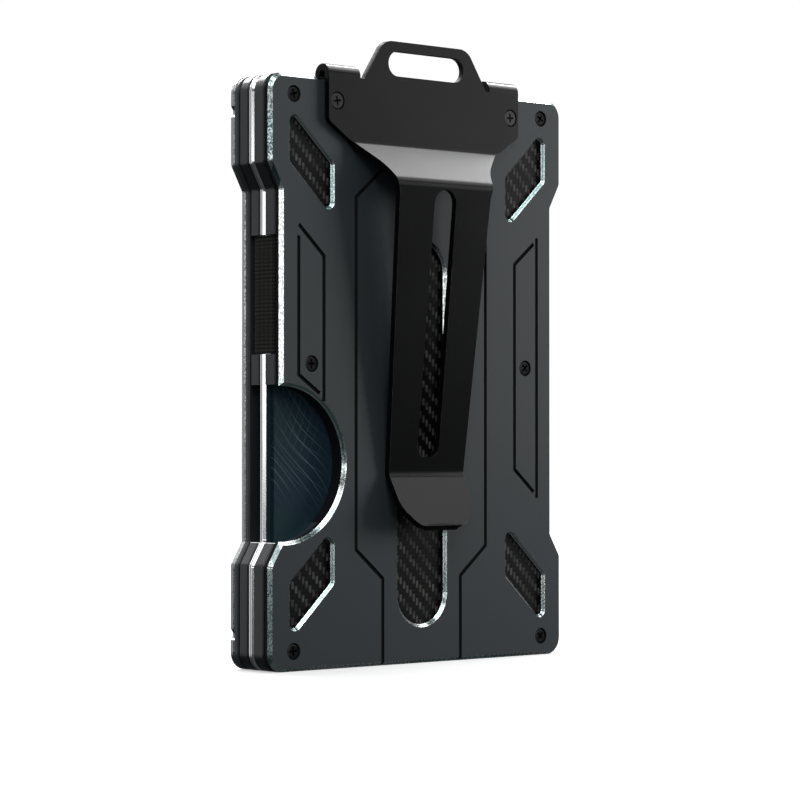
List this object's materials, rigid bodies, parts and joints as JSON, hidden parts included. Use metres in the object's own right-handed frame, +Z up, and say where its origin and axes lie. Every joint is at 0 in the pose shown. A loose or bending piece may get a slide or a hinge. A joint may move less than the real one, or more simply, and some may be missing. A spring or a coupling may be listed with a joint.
{
  "type": "minimalist wallet",
  "caption": "Slim card wallet: milled metal shells drawn together by elastic straps around a card, with a sprung money clip, thumb notch and lanyard loop.",
  "frame": {"origin": "on the ground under the middle of the wallet's outer box", "axes": "+Z up the height, -Y out of the front (money clip) side, +X to the right seen from the front"},
  "size_m": [0.0612, 0.0156, 0.0965],
  "materials": {
    "cover": "dark anodised, fine matt, bright-cut bevels",
    "inner_plate": "dark anodised satin",
    "divider": "bright satin with polished bevels",
    "carbon": "woven carbon fibre twill under clear resin",
    "clip_steel": "black coated satin",
    "screw": "black oxide",
    "elastic": "woven elastic",
    "pin": "plain",
    "card": "printed plastic, dark teal with fine pale curves"
  },
  "bodies": {
    "rear_shell": {"rear_inner_plate": "inner_plate", "rear_backing_plate": "inner_plate", "rear_cover": "cover", "rear_inlay_top_left": "carbon", "rear_inlay_top_right": "carbon", "rear_inlay_bottom_left": "carbon", "rear_inlay_bottom_right": "carbon", "rear_inlay_center": "carbon", "rear_cover_screws": "screw", "elastic_strap_left": "elastic", "elastic_strap_right": "elastic", "rear_strap_pins": "pin"},
    "front_shell": {"front_cover": "cover", "front_inner_plate": "inner_plate", "front_inlay_top_left": "carbon", "front_inlay_top_right": "carbon", "front_inlay_bottom_left": "carbon", "front_inlay_bottom_right": "carbon", "front_inlay_center": "carbon", "front_cover_screws": "screw", "money_clip_base": "clip_steel", "clip_screws": "screw", "front_strap_pins": "pin"},
    "divider": {"divider_plate": "divider"},
    "card": {"bank_card": "card"},
    "clip_arm": {"money_clip_arm": "clip_steel"}
  },
  "joints": [
    {"name": "front_spread", "type": "slide", "parent": "rear_shell", "child": "front_shell", "axis": [0, -1, 0], "range_m": [0, 0.006], "stiffness_N_per_m": 800, "deforming": ["elastic_strap_left", "elastic_strap_right"]},
    {"name": "divider_shift", "type": "slide", "parent": "rear_shell", "child": "divider", "axis": [0, -1, 0], "range_m": [0, 0.003]},
    {"name": "card_slide", "type": "slide", "parent": "divider", "child": "card", "axis": [0, 0, 1], "range_m": [0, 0.08]},
    {"name": "clip_flex", "type": "hinge", "parent": "front_shell", "child": "clip_arm", "pos_m": [0, -0.00259, 0.08028], "axis": [-1, 0, 0], "range_deg": [0, 6], "stiffness_Nm_per_rad": 1.5}
  ],
  "couplings": [
    {"joint": "divider_shift", "follows": "front_spread", "ratio": 0.5}
  ]
}
